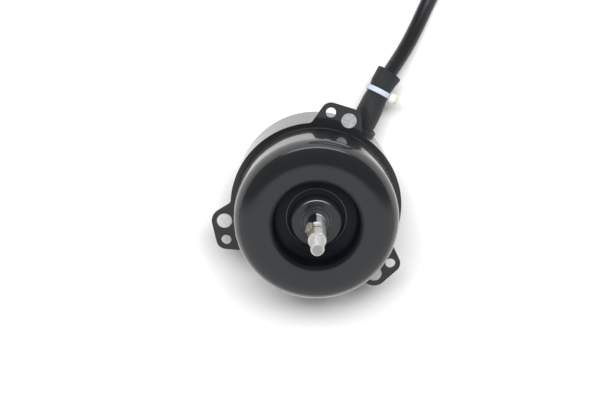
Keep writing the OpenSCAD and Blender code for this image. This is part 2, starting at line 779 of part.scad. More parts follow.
module coil_tie() {
    color("#e4e8ee") at_coil(coil_tie_angle) translate([0, tie_w / 2, 0]) rotate([90, 0, 0]) {
        linear_extrude(tie_w) difference() {
            bundle(coil_tie_gap + coil_tie_t);
            bundle(coil_tie_gap);
        }
        translate([coil_r + 2 * cable_r + 2 * coil_tie_gap, -tie_head.z / 2, (tie_w - tie_head.x) / 2])
            cube([tie_head.y, tie_head.z, tie_head.x]);
    }
}

module cable_end_sleeve() {
    color("#1f2022") at_coil(top_turn_to - end_sleeve_angle / 2, coil_step)
        rotate_extrude(angle = end_sleeve_angle) translate([coil_r, 0]) difference() {
            circle(end_sleeve_r);
            circle(cable_r + seat_gap);
        }
}

// The three cores, which go into the connector for the length core_in
module lead_cores() {
    angle = core_lead_angle + core_in / coil_r * 180 / PI;
    for (k = [-1:1]) color(["#2d2f33", "#d8d8d2", "#c23a2e"][k + 1])
        at_coil(top_turn_to, coil_step) rotate_extrude(angle = angle)
            translate([coil_r + k * cavity_pitch, 0]) circle(core_lead_r);
}

// Places its children at the middle of the connector's rear face, below the cores and on
// the coil's low turns
module at_connector() {
    at_coil(top_turn_to + core_lead_angle, coil_step - housing_h / 2) translate([coil_r, 0, 0])
        children();
}

module connector_housing() {
    color("#ecebe6") at_connector() difference() {
        union() {
            translate([-housing_w / 2, 0, 0]) cube([housing_w, housing_l, housing_h]);
            translate([-latch.x / 2, housing_l - latch.y, housing_h - over]) cube(latch + [0, 0, over]);
            for (s = [-1, 1]) translate([s * (housing_w - rib_w) / 2 - rib_w / 2, 0, housing_h - over])
                cube([rib_w, housing_l, latch.z + over]);
        }
        for (k = [-1:1]) translate([k * cavity_pitch - cavity_w / 2, -over, (housing_h - cavity_h) / 2])
            cube([cavity_w, housing_l + 2 * over, cavity_h]);
    }
}

// Height at which pin k starts, where the end of its core is reached
function pin_from(k) = core_in * (1 + (k * cavity_pitch + core_lead_r) / coil_r) + seat_gap;

module connector_pins() {
    color("#cfcabb") at_connector() for (k = [-1:1])
        translate([k * cavity_pitch, 0, housing_h / 2]) difference() {
            translate([-pin_w / 2, pin_from(k), -pin_h / 2]) cube([pin_w, pin_end - pin_from(k), pin_h]);
            translate([pin_wall - pin_w / 2, core_in + crimp_l, pin_wall - pin_h / 2])
                cube([pin_w - 2 * pin_wall, pin_end, pin_h - 2 * pin_wall]);
        }
}

front_shell();
rear_shell();
stator_core();
slot_liners();
slot_wedges();
main_winding();
auxiliary_winding();
thermal_fuse();
splice_sleeves();
inner_leads();
shaft();
rotor_core();
rotor_cage();
front_spacer();
rear_spacer();
front_retaining_ring();
rear_retaining_ring();
wave_washer();
front_bearing_outer_ring();
front_bearing_inner_ring();
front_bearing_balls();
front_bearing_cage();
front_bearing_shields();
rear_bearing_outer_ring();
rear_bearing_inner_ring();
rear_bearing_balls();
rear_bearing_cage();
rear_bearing_shields();
cable_grommet();
cable_sleeve();
zip_tie();
cable_run();
cable_coil();
coil_tie();
cable_end_sleeve();
lead_cores();
connector_housing();
connector_pins();
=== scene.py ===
import math
import random

import bmesh
import bpy
from mathutils import Matrix, Vector, noise


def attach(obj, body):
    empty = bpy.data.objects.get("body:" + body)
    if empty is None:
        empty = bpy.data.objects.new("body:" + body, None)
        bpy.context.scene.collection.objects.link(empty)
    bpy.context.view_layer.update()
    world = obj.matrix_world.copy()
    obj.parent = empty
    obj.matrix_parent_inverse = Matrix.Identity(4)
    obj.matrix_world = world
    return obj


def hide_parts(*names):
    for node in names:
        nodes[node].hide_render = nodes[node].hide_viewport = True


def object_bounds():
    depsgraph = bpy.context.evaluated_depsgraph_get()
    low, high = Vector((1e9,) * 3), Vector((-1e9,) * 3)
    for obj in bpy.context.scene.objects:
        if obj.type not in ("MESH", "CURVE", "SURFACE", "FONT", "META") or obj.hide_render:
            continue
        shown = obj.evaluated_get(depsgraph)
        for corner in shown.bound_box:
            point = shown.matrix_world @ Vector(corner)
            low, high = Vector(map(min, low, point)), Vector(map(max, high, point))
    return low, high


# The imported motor: origin at the centre of the flange's front face on the shaft's axis,
# +Z towards the shaft's tip, +Y through the middle of the first ear.
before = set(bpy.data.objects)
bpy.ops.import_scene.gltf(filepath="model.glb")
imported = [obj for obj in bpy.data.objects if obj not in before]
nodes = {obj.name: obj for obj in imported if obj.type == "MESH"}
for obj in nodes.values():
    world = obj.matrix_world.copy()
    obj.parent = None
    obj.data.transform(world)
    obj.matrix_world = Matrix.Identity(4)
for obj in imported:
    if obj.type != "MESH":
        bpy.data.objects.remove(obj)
cad_low, cad_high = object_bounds()
MM = 0.001
random.seed(7)

# The camera stands over the motor and looks almost down its shaft, 16 degrees off it.
# The upright of the picture lies 14.5 degrees past the first ear.
view_turn = math.radians(104.5)
view_tilt = math.radians(16.14)
view_distance = 674.35 * MM
lens_mm = 86.86
aim_right, aim_up = -7.4 * MM, 2.77 * MM
outward = Vector((math.cos(view_turn), math.sin(view_turn), 0))
camera_back = math.sin(view_tilt) * outward + Vector((0, 0, math.cos(view_tilt)))
camera_up = math.cos(view_tilt) * outward - Vector((0, 0, math.sin(view_tilt)))
camera_right = camera_up.cross(camera_back)
camera = bpy.data.objects.new("camera", bpy.data.cameras.new("camera"))
camera.data.lens = lens_mm
camera.data.sensor_width = 36
camera.matrix_world = Matrix((camera_right, camera_up, camera_back)).transposed().to_4x4()
camera.location = camera_back * view_distance + camera_right * aim_right + camera_up * aim_up
bpy.context.collection.objects.link(camera)
bpy.context.scene.camera = camera
bpy.context.scene.view_settings.view_transform = "Standard"


def linear(hex_colour, alpha=1.0):
    """An sRGB hex colour as the linear values that a shader takes."""
    out = []
    for i in (0, 2, 4):
        c = int(hex_colour[i : i + 2], 16) / 255
        out.append(c / 12.92 if c <= 0.04045 else ((c + 0.055) / 1.055) ** 2.4)
    return (*out, alpha)


def add(tree, kind, settings=(), inputs=()):
    """A node of that kind with its settings, and its inputs set or linked."""
    made = tree.nodes.new(kind)
    for name, value in dict(settings).items():
        setattr(made, name, value)
    for name, value in dict(inputs).items():
        if isinstance(value, bpy.types.NodeSocket):
            tree.links.new(value, made.inputs[name])
        else:
            made.inputs[name].default_value = value
    return made


def surface(name, settings):
    """A new material with one Principled surface, and its tree and that surface."""
    made = bpy.data.materials.new(name)
    made.use_nodes = True
    tree = made.node_tree
    shader = tree.nodes["Principled BSDF"]
    for key, value in settings.items():
        shader.inputs[key].default_value = value
    return made, tree, shader


def paint(obj, material):
    obj.data.materials.clear()
    obj.data.materials.append(material)


def shown(name, mesh, material, body, smooth=True):
    """A piece of that mesh in the scene, painted, and riding on a body."""
    obj = bpy.data.objects.new(name, mesh)
    bpy.context.collection.objects.link(obj)
    if smooth and hasattr(mesh, "polygons"):
        mesh.polygons.foreach_set("use_smooth", [True] * len(mesh.polygons))
    paint(obj, material)
    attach(obj, body)
    return obj


# The lead: a cable of about 7 mm in a black PVC sheath. It leaves the rear shell level,
# droops to the table within 90 mm, and its unseen length lies in a coil of two low turns
# and a third on top, just past the picture's edge.
cable_r = 3.5 * MM
cable_route = [(10.8, 34.1, -17), (11.6, 36.8, -17), (12.9, 41, -17), (13.9, 46, -17.2),
               (14.8, 51, -17.8), (15.8, 56, -18.9), (17.1, 60.7, -20.3), (18.8, 65.2, -22),
               (20.8, 70.2, -24.2), (22.9, 75.7, -26.8), (24.6, 81, -29.1), (26, 86.5, -31.2),
               (27.2, 92, -32.8), (28.2, 97.5, -33.8), (29.2, 103, -34.1), (30.8, 111, -34.1),
               (32.4, 119.5, -33.9), (34, 128, -33.5)]
coil_centre = Vector((-7, 146, -33.2)) * MM
coil_r = 40 * MM
coil_entry_angle = -12
coil_end_angle = 885
end_sleeve_r = cable_r + 0.4 * MM
top_turn_z = math.sqrt((cable_r + end_sleeve_r) ** 2 - cable_r**2) + 0.02 * MM
crossing_hump = 0.6 * MM


def ease(x, start, end):
    """0 before start, 1 after end, and a smooth step between."""
    t = min(1, max(0, (x - start) / (end - start)))
    return t * t * (3 - 2 * t)


def coil_point(angle):
    """The cable's centre at an angle along the coil, in degrees from its entry."""
    lean = math.radians(60) * ease(angle, 590, 650)
    radius = coil_r + cable_r * (1 - 2 * ease(angle, 290, 350))
    if angle > 590:
        radius = coil_r + cable_r - 2 * cable_r * math.cos(lean)
    height = 2 * cable_r * math.sin(lean) + (top_turn_z - math.sqrt(3) * cable_r) * ease(angle, 620, 650)
    height += crossing_hump * (ease(angle, 635, 680) - ease(angle, 680, 725))
    world = math.radians(coil_entry_angle + angle)
    return coil_centre + Vector((radius * math.cos(world), radius * math.sin(world), height))


def smooth_path(points, steps):
    """A smooth line through the points, with so many steps from each to the next."""
    ends = [2 * points[0] - points[1]] + points + [2 * points[-1] - points[-2]]
    line = []
    for a, b, c, d in zip(ends, ends[1:], ends[2:], ends[3:]):
        for i in range(steps):
            t = i / steps
            line.append(0.5 * (2 * b + (c - a) * t + (2 * a - 5 * b + 4 * c - d) * t * t
                               + (3 * b - a - 3 * c + d) * t**3))
    return line + [points[-1]]


knots = [Vector(p) * MM for p in cable_route]
knots += [coil_point(a) for a in range(0, coil_end_angle + 1, 15)]
cable_line = smooth_path(knots, 4)
for point in cable_line:
    point.z = max(point.z, cad_low.z + cable_r + 0.01 * MM)


def frames_along(line):
    """The side and the top direction at each point of a line, turned as little as can be."""
    top = Vector((0, 0, 1))
    out = []
    for before, after in zip([line[0]] + line[:-1], line[1:] + [line[-1]]):
        ahead = (after - before).normalized()
        top = (top - top.dot(ahead) * ahead).normalized()
        out.append((ahead.cross(top), top))
    return out


def rings_along(line, reach, sides):
    """Rings of points round a line. reach gives (side, top) for a ring's number and angle."""
    rings = []
    for i, (at, (side, top)) in enumerate(zip(line, frames_along(line))):
        ring = []
        for k in range(sides):
            x, y = reach(i, k * math.tau / sides)
            ring.append(at + x * side + y * top)
        rings.append(ring)
    return rings


def round_reach(radius):
    return lambda i, a: (radius * math.cos(a), radius * math.sin(a))


def skin(name, rings, joined=False):
    """A closed mesh over rings of points: its ends are capped, or joined to each other."""
    sides = len(rings[0])
    faces = []
    for i in range(len(rings) if joined else len(rings) - 1):
        a, b = i * sides, (i + 1) % len(rings) * sides
        faces += [(a + k, a + (k + 1) % sides, b + (k + 1) % sides, b + k) for k in range(sides)]
    if not joined:
        faces += [range(sides), range((len(rings) - 1) * sides, len(rings) * sides)]
    mesh = bpy.data.meshes.new(name)
    mesh.from_pydata([p for ring in rings for p in ring], [], faces)
    built = bmesh.new()
    built.from_mesh(mesh)
    bmesh.ops.recalc_face_normals(built, faces=built.faces)
    built.to_mesh(mesh)
    built.free()
    return mesh


# PVC cable sheath, extruded: a soft semi-matte black, with a fine grain that broadens its
# highlight.
pvc_sheath, tree, shader = surface("extruded_pvc_sheath", {
    "Base Color": linear("1b1c1e"), "IOR": 1.53})
place = add(tree, "ShaderNodeTexCoord").outputs["Object"]
grain = add(tree, "ShaderNodeTexNoise", inputs={"Vector": place, "Scale": 900, "Detail": 3})
bump = add(tree, "ShaderNodeBump", inputs={
    "Height": grain.outputs["Fac"], "Strength": 0.12, "Distance": 0.1 * MM})
tree.links.new(bump.outputs["Normal"], shader.inputs["Normal"])
rough = add(tree, "ShaderNodeMapRange", inputs={
    "Value": grain.outputs["Fac"], "To Min": 0.34, "To Max": 0.5})
tree.links.new(rough.outputs["Result"], shader.inputs["Roughness"])
cable_sides = 24
cable = shown("sheathed_lead", skin("sheathed_lead", rings_along(
    cable_line, round_reach(cable_r), cable_sides)), pvc_sheath, "housing")
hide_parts("cable_run", "cable_coil")

# Vinyl sleeve over the lead's root, cut straight and drawn in by the tie. Its free mouth
# stands open, flattened onto the cable, and small pleats run out of the waist.
sleeve_wall = 1.15 * MM
sleeve_knots = smooth_path(knots[:8], 8)
tie_knot = 5
sleeve_half_widths = [5.85, 5.85, 5.85, 5.85, 5.6, 4.95, 5.75, 6.15]
sleeve_half_heights = [5.85, 5.85, 5.85, 5.8, 5.5, 4.95, 4.95, 4.8]
pleat_count, pleat_depth = 9, 0.16 * MM


def along_sleeve(values, i):
    """A value of the sleeve's knots at its ring i, eased from each knot to the next."""
    at = min(i / 8, len(values) - 1 - 1e-6)
    k = int(at)
    return (values[k] + (values[k + 1] - values[k]) * ease(at - k, 0, 1)) * MM


def sleeve_reach(inset):
    def reach(i, a):
        from_tie = abs(i / 8 - tie_knot)
        pleat = pleat_depth * math.cos(pleat_count * a + 0.8) * max(0, 1 - from_tie / 1.6)
        pleat *= ease(from_tie, 0.2, 0.5)
        width = along_sleeve(sleeve_half_widths, i) - inset + pleat
        height = along_sleeve(sleeve_half_heights, i) - inset + pleat
        return width * math.cos(a), height * math.sin(a)
    return reach


vinyl, tree, shader = surface("soft_vinyl_sleeve", {
    "Base Color": linear("1f2123"), "Roughness": 0.6, "IOR": 1.52})
place = add(tree, "ShaderNodeTexCoord").outputs["Object"]
scuffs = add(tree, "ShaderNodeTexNoise", inputs={"Vector": place, "Scale": 260, "Detail": 4})
tone = add(tree, "ShaderNodeMix", {"data_type": "RGBA"}, {"Factor": scuffs.outputs["Fac"]})
tone.inputs["A"].default_value = linear("17191b")
tone.inputs["B"].default_value = linear("2a2c2e")
tree.links.new(tone.outputs["Result"], shader.inputs["Base Color"])
bump = add(tree, "ShaderNodeBump", inputs={
    "Height": scuffs.outputs["Fac"], "Strength": 0.3, "Distance": 0.15 * MM})
tree.links.new(bump.outputs["Normal"], shader.inputs["Normal"])
sleeve_outside = rings_along(sleeve_knots, sleeve_reach(0), 48)
sleeve_lip = rings_along(sleeve_knots, sleeve_reach(0.35 * MM), 48)[-1]
sleeve_inside = rings_along(sleeve_knots, sleeve_reach(sleeve_wall), 48)
sleeve = shown("vinyl_sleeve", skin("vinyl_sleeve", sleeve_outside + [sleeve_lip]
               + sleeve_inside[::-1], joined=True), vinyl, "housing")
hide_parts("cable_sleeve")

# Nylon cable tie, moulded in one piece: a 2.5 mm strap round the sleeve's waist, its head
# beside it and the cut tail just through the head. Natural nylon lets light through.
nylon, tree, shader = surface("natural_moulded_nylon", {
    "Roughness": 0.35, "IOR": 1.53})
place = add(tree, "ShaderNodeTexCoord").outputs["Object"]
cloud = add(tree, "ShaderNodeTexNoise", inputs={"Vector": place, "Scale": 500, "Detail": 2})
tone = add(tree, "ShaderNodeMix", {"data_type": "RGBA"}, {"Factor": cloud.outputs["Fac"]})
tone.inputs["A"].default_value = linear("b2bac6")
tone.inputs["B"].default_value = linear("cbd2de")
tree.links.new(tone.outputs["Result"], shader.inputs["Base Color"])
head_nylon, tree, shader = surface("clear_nylon_head", {
    "Base Color": linear("e9e8da"), "Roughness": 0.35, "IOR": 1.53})
place = add(tree, "ShaderNodeTexCoord").outputs["Object"]
cloud = add(tree, "ShaderNodeTexNoise", inputs={"Vector": place, "Scale": 700})
bump = add(tree, "ShaderNodeBump", inputs={
    "Height": cloud.outputs["Fac"], "Strength": 0.15, "Distance": 0.1 * MM})
tree.links.new(bump.outputs["Normal"], shader.inputs["Normal"])
strap_w, strap_t, strap_round = 2.5 * MM, 1.1 * MM, 0.3 * MM
waist_r = 4.99 * MM
tie_at = knots[tie_knot]
tie_ahead = (knots[tie_knot + 1] - knots[tie_knot - 1]).normalized()
tie_out = tie_ahead.cross(Vector((0, 0, 1))).normalized()
tie_top = tie_out.cross(tie_ahead)


def rounded_bar(name, inner, thick, width, corner, turns):
    """A ring of a bar with rounded corners, about the origin and round +Z."""
    section = []
    for cx, cy, start in ((1, 1, 0), (0, 1, 90), (0, 0, 180), (1, 0, 270)):
        for step in range(4):
            a = math.radians(start + step * 30)
            section.append((inner + (thick - corner if cx else corner) + corner * math.cos(a),
                            (width / 2 - corner) * (1 if cy else -1) + corner * math.sin(a)))
    rings = []
    for i in range(turns):
        a = i * math.tau / turns
        rings.append([Vector((r * math.cos(a), r * math.sin(a), z)) for r, z in section])
    return skin(name, rings, joined=True)


def rounded_block(name, size, corner):
    """A block with rounded edges about the origin."""
    built = bmesh.new()
    bmesh.ops.create_cube(built, size=1)
    bmesh.ops.scale(built, vec=size, verts=built.verts)
    bmesh.ops.bevel(built, geom=built.edges[:], offset=corner, segments=3, affect="EDGES")
    mesh = bpy.data.meshes.new(name)
    built.to_mesh(mesh)
    built.free()
    return mesh


tie_place = Matrix((tie_out, tie_top, -tie_ahead)).transposed().to_4x4()
tie_place.translation = tie_at
strap_mesh = rounded_bar("tie_strap", waist_r, strap_t, strap_w, strap_round, 64)
strap_mesh.transform(tie_place)
tie = shown("tie_strap", strap_mesh, nylon, "housing")
head_size = Vector((4.2, 4.2, 4.6)) * MM
head_mesh = rounded_block("tie_head", head_size, 0.6 * MM)
head_mesh.transform(tie_place @ Matrix.Translation((waist_r + strap_t / 2 + head_size.x / 2, 0, 0)))
tie_head = shown("tie_head", head_mesh, head_nylon, "housing")
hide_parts("zip_tie")

# What ends the lead, all hidden beyond the picture: a nylon tie round the coil's three
# turns, a shrink sleeve over the sheath's cut end, three cores in brown, blue and
# green-yellow, and a moulded housing with tinned terminals crimped on the cores.
def finish(name, material, bevel=0):
    """A CAD node that is shown as it is, with a finish and, if asked, rounded edges."""
    paint(nodes[name], material)
    if bevel:
        rounding = nodes[name].modifiers.new("rounding", "BEVEL")
        rounding.width = bevel
        rounding.segments = 2
        rounding.limit_method = "ANGLE"
        rounding.angle_limit = math.radians(40)


def mottled(name, dark, light, scale, settings, bump_mm=0.0):
    """A surface whose colour drifts between two tones, with a grain of that height."""
    made, tree, shader = surface(name, settings)
    place = add(tree, "ShaderNodeTexCoord").outputs["Object"]
    grain = add(tree, "ShaderNodeTexNoise", inputs={"Vector": place, "Scale": scale, "Detail": 4})
    tone = add(tree, "ShaderNodeMix", {"data_type": "RGBA"}, {"Factor": grain.outputs["Fac"]})
    tone.inputs["A"].default_value = linear(dark)
    tone.inputs["B"].default_value = linear(light)
    tree.links.new(tone.outputs["Result"], shader.inputs["Base Color"])
    if bump_mm:
        bump = add(tree, "ShaderNodeBump", inputs={
            "Height": grain.outputs["Fac"], "Strength": 1.0, "Distance": bump_mm * MM})
        tree.links.new(bump.outputs["Normal"], shader.inputs["Normal"])
    return made


shrink = mottled("heat_shrunk_sleeve", "17181a", "232527", 600, {"Roughness": 0.35, "IOR": 1.5}, 0.02)
housing_nylon = mottled("moulded_white_nylon", "dfded8", "f1f0ea", 300, {
    "Roughness": 0.4, "IOR": 1.53}, 0.005)
tinned = mottled("tinned_brass_strip", "b9b7b0", "dedcd4", 900, {
    "Metallic": 1.0, "Roughness": 0.25}, 0.004)
finish("coil_tie", nylon, 0.2 * MM)
finish("cable_end_sleeve", shrink, 0.1 * MM)
finish("connector_housing", housing_nylon, 0.12 * MM)
finish("connector_pins", tinned)

core_pvc, tree, shader = surface("core_insulation_pvc", {"Roughness": 0.4, "IOR": 1.53})
place = add(tree, "ShaderNodeTexCoord").outputs["Object"]
from_coil = add(tree, "ShaderNodeVectorMath", {"operation": "SUBTRACT"}, {0: place, 1: coil_centre})
level = add(tree, "ShaderNodeVectorMath", {"operation": "MULTIPLY"}, {0: from_coil.outputs[0], 1: (1, 1, 0)})
across = add(tree, "ShaderNodeVectorMath", {"operation": "LENGTH"}, {0: level.outputs[0]})
colours = add(tree, "ShaderNodeValToRGB", inputs={"Fac": add(tree, "ShaderNodeMapRange", inputs={
    "Value": across.outputs["Value"], "From Min": coil_r - 3.75 * MM,
    "From Max": coil_r + 3.75 * MM}).outputs["Result"]})
colours.color_ramp.interpolation = "CONSTANT"
colours.color_ramp.elements[0].color = linear("5a3a26")
colours.color_ramp.elements[1].position = 2 / 3
colours.color_ramp.elements[1].color = linear("6f9a3a")
colours.color_ramp.elements.new(1 / 3).color = linear("2a5fa8")
tree.links.new(colours.outputs["Color"], shader.inputs["Base Color"])
finish("lead_cores", core_pvc)

# Grommet: moulded rubber, its flat flange standing on the curved wall.
grommet_rubber = mottled("moulded_rubber", "1a1b1c", "2b2c2e", 400, {"Roughness": 0.55, "IOR": 1.52}, 0.03)
finish("cable_grommet", grommet_rubber)

# Shaft: a ground 8 mm steel bar with a milled driving flat, a relief beside the bearing,
# two ring grooves and an M6 thread with 1 mm pitch rolled on its tip. It runs in the
# bearings' inner rings. Black overspray ends on it below the flat, and a hub that was
# pulled off has left a scar, a brown stain and a crust on one side.
shaft_r, tip_r, tip_from, tip_to, shaft_end = 4, 3, 53.65, 66.25, -30.9
flat_from, flat_at, flat_turn = 38.45, 3.3, math.radians(110)
thread_pitch, thread_depth, thread_from = 1.0, 0.55, 54.9
shaft_profile = [(shaft_end, 3.5), (shaft_end + 0.5, 4), (-23.86, 4), (-23.86, 3.7), (-23.02, 3.7),
                 (-23.02, 4), (17.93, 4), (17.93, 3.7), (18.77, 3.7), (18.77, 4), (25.9, 4),
                 (25.9, 3.75), (27.5, 3.75), (27.5, 4), (flat_from, 4), (flat_from + 0.001, 3.98)]
shaft_profile += [(flat_from + i * (tip_from - 0.5 - flat_from) / 12, 3.98) for i in range(1, 13)]
shaft_profile += [(tip_from, 3.48), (tip_from, 3)]
shaft_profile += [(tip_from + i * 0.1, 3) for i in range(1, 118)]
shaft_profile += [(tip_to - 0.9, 3), (tip_to - 0.6, 2.7), (tip_to - 0.3, 2.4), (tip_to, 2.1)]
columns = 120
rings = []
for z, radius in shaft_profile:
    ring = []
    for k in range(columns):
        a = k * math.tau / columns
        reach = radius
        if z > tip_from:
            phase = ((z - tip_from) / thread_pitch - k / columns) % 1
            cut = thread_depth * (1 - abs(2 * phase - 1)) * ease(z, thread_from - 0.6, thread_from + 0.4)
            reach = min(radius, tip_r - cut)
        point = Vector((reach * math.cos(a), reach * math.sin(a), z))
        proud = point.x * math.cos(flat_turn) + point.y * math.sin(flat_turn) - flat_at
        if z > flat_from and proud > 0:
            point -= proud * Vector((math.cos(flat_turn), math.sin(flat_turn), 0))
        ring.append(point * MM)
    rings.append(ring)
shaft_mesh = skin("ground_shaft", rings)
shaft_mesh.polygons.foreach_set("use_smooth", [True] * len(shaft_mesh.polygons))
shaft_mesh.set_sharp_from_angle(angle=math.radians(28))

ground_steel, tree, shader = surface("ground_shaft_steel", {"Metallic": 1.0})
place = add(tree, "ShaderNodeTexCoord").outputs["Object"]
left_way = Vector((-camera_right.x, -camera_right.y, 0))


def along_way(tree, place, way):
    """How far a point lies in a direction, in millimetres."""
    dot = add(tree, "ShaderNodeVectorMath", {"operation": "DOT_PRODUCT"}, {0: place, 1: way / MM})
    return dot.outputs["Value"]


def band(tree, value, start, end):
    """0 below start and 1 above end, or the other way round if start is the larger."""
    ramp = add(tree, "ShaderNodeMapRange", {"interpolation_type": "SMOOTHSTEP"}, {
        "Value": value, "From Min": min(start, end), "From Max": max(start, end),
        "To Min": 0.0 if start < end else 1.0, "To Max": 1.0 if start < end else 0.0})
    return ramp.outputs["Result"]


def math_of(tree, operation, a, b):
    return add(tree, "ShaderNodeMath", {"operation": operation}, {0: a, 1: b}).outputs[0]


left = along_way(tree, place, left_way)
front = along_way(tree, place, outward)
height = along_way(tree, place, Vector((0, 0, 1)))
ragged = add(tree, "ShaderNodeTexNoise", inputs={"Vector": place, "Scale": 500, "Detail": 4}).outputs["Fac"]
ragged_height = math_of(tree, "ADD", height, math_of(tree, "MULTIPLY", ragged, 2.4))
ragged_left = math_of(tree, "ADD", left, math_of(tree, "MULTIPLY", ragged, 1.6))
oversprayed = math_of(tree, "MULTIPLY", band(tree, ragged_height, 39.0, 38.7),
                      band(tree, ragged_left, 0.7, 0.9))
stained = math_of(tree, "MULTIPLY", math_of(tree, "MULTIPLY", band(tree, ragged_height, 36.5, 38.5),
                  band(tree, ragged_height, 54.5, 52)), band(tree, ragged_left, 1.2, 2.6))
arch = math_of(tree, "SUBTRACT", height, math_of(tree, "MULTIPLY", math_of(tree, "MULTIPLY", left, left), 0.3))
scar = math_of(tree, "MULTIPLY", math_of(tree, "COMPARE", arch, 43.0),
               math_of(tree, "MULTIPLY", band(tree, front, 3.0, 3.15), band(tree, left, 1.7, 1.3)))
lines = add(tree, "ShaderNodeVectorMath", {"operation": "MULTIPLY"}, {0: place, 1: (1, 1, 14)})
ground = add(tree, "ShaderNodeTexNoise", inputs={"Vector": lines.outputs[0], "Scale": 700, "Detail": 3})
steel = add(tree, "ShaderNodeMix", {"data_type": "RGBA"}, {"Factor": ground.outputs["Fac"]})
steel.inputs["A"].default_value = linear("b4b5b4")
steel.inputs["B"].default_value = linear("f0f0ef")
colour = steel.outputs["Result"]
# Painted light on the tip: the end face is painted a darker grey, as painted shade, and the chamfer bands at the tip's
# end and at the shoulder a plain light grey, as painted highlight.
shaded_end_face = band(tree, height, 66.1, 66.2)
edges = math_of(tree, "ADD", math_of(tree, "MULTIPLY", band(tree, height, 65.2, 65.5), band(tree, height, 66.1, 66.0)),
                math_of(tree, "MULTIPLY", band(tree, height, 53.0, 53.2), band(tree, height, 53.8, 53.7)))
on_flat = math_of(tree, "MULTIPLY", band(tree, front, 3.1, 3.2), band(tree, height, 54, 53.6))
for mask, shade in ((on_flat, "d2d2d1"), (edges, "d4d4d4"), (shaded_end_face, "a2a2a1"), (stained, "8a8272"),
                    (scar, "5c5c5a"), (oversprayed, "1d1e21")):
    laid = add(tree, "ShaderNodeMix", {"data_type": "RGBA"}, {"Factor": mask})
    tree.links.new(colour, laid.inputs["A"])
    laid.inputs["B"].default_value = linear(shade)
    colour = laid.outputs["Result"]
tree.links.new(colour, shader.inputs["Base Color"])
covered = math_of(tree, "MAXIMUM", oversprayed, math_of(tree, "MULTIPLY", stained, 0.6))
covered = math_of(tree, "MAXIMUM", covered, math_of(tree, "MULTIPLY", on_flat, 0.6))
tree.links.new(add(tree, "ShaderNodeMapRange", inputs={"Value": covered, "To Min": 0.6, "To Max": 0.0})
               .outputs["Result"], shader.inputs["Metallic"])
tree.links.new(add(tree, "ShaderNodeMapRange", inputs={"Value": ground.outputs["Fac"], "To Min": 0.3,
               "To Max": 0.5}).outputs["Result"], shader.inputs["Roughness"])
bump = add(tree, "ShaderNodeBump", inputs={
    "Height": ground.outputs["Fac"], "Strength": 0.5, "Distance": 0.02 * MM})
tree.links.new(bump.outputs["Normal"], shader.inputs["Normal"])
shaft = shown("ground_shaft", shaft_mesh, ground_steel, "rotor", smooth=False)
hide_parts("shaft")

crust_brown = mottled("rust_and_grease_crust", "0c0a08", "b8b2a2", 1300, {"Roughness": 0.75}, 0.4)
built = bmesh.new()
bmesh.ops.create_icosphere(built, subdivisions=4, radius=1)
for vert in built.verts:
    rough = 1 + 0.5 * noise.fractal(vert.co * 2.6, 1.0, 2.0, 4)
    vert.co = Vector((vert.co.x * 2.3, vert.co.y * 1.15, vert.co.z * 5.6)) * rough * MM
crust_turn = math.radians(168)
bmesh.ops.transform(built, verts=built.verts, matrix=Matrix.Translation(Vector((
    4.05 * math.cos(crust_turn), 4.05 * math.sin(crust_turn), 41)) * MM)
    @ Matrix.Rotation(crust_turn + math.pi / 2, 4, "Z"))
crust_mesh = bpy.data.meshes.new("crust")
built.to_mesh(crust_mesh)
built.free()
shown("crust_on_shaft", crust_mesh, crust_brown, "rotor")

# The two shells are drawn from sheet steel and dipped in black stove enamel: a gloss
# coat with faint orange peel over a slightly grey body, a few dust specks dried into it,
# and slow waves from the drawing that bend what it mirrors. Down in the well the coat is
# cut to a tenth and the body is painted darker, as painted shade. Thin light lines round
# the pocket and the eye are painted highlights, two of them only on the side towards the
# camera.
stove_enamel, tree, shader = surface("black_stove_enamel_on_steel", {
    "Roughness": 0.5, "IOR": 1.5, "Specular IOR Level": 0.15,
    "Coat Weight": 1.0, "Coat Roughness": 0.08, "Coat IOR": 1.5})
place = add(tree, "ShaderNodeTexCoord").outputs["Object"]
waves = add(tree, "ShaderNodeTexNoise", inputs={"Vector": place, "Scale": 45, "Detail": 1})
peel = add(tree, "ShaderNodeTexNoise", inputs={"Vector": place, "Scale": 650, "Detail": 2})
wave_bump = add(tree, "ShaderNodeBump", inputs={
    "Height": waves.outputs["Fac"], "Strength": 0.35, "Distance": 0.6 * MM})
peel_bump = add(tree, "ShaderNodeBump", inputs={
    "Height": peel.outputs["Fac"], "Strength": 0.1, "Distance": 0.05 * MM,
    "Normal": wave_bump.outputs["Normal"]})
for socket in ("Normal", "Coat Normal"):
    tree.links.new(peel_bump.outputs["Normal"], shader.inputs[socket])
cells = add(tree, "ShaderNodeTexVoronoi", inputs={"Vector": place, "Scale": 260})
near = add(tree, "ShaderNodeMath", {"operation": "LESS_THAN"}, {0: cells.outputs["Distance"], 1: 0.045})
chosen = add(tree, "ShaderNodeSeparateColor", inputs={"Color": cells.outputs["Color"]})
few = add(tree, "ShaderNodeMath", {"operation": "GREATER_THAN"}, {0: chosen.outputs["Red"], 1: 0.95})
speck = add(tree, "ShaderNodeMath", {"operation": "MULTIPLY"}, {0: near.outputs[0], 1: few.outputs[0]})
dusty = add(tree, "ShaderNodeMix", {"data_type": "RGBA"}, {"Factor": speck.outputs[0]})
dusty.inputs["B"].default_value = linear("b9bcc0")
flat_place = add(tree, "ShaderNodeVectorMath", {"operation": "MULTIPLY"}, {0: place, 1: (1 / MM, 1 / MM, 0)})
radius = add(tree, "ShaderNodeVectorMath", {"operation": "LENGTH"}, {0: flat_place.outputs[0]}).outputs["Value"]
upward = along_way(tree, place, outward)
height = along_way(tree, place, Vector((0, 0, 1)))
shaded_well = math_of(tree, "MULTIPLY", band(tree, radius, 22.0, 20.0), band(tree, height, 15, 16))
shaded_well = math_of(tree, "MULTIPLY", shaded_well, band(tree, radius, 12.6, 13.2))
rings = None
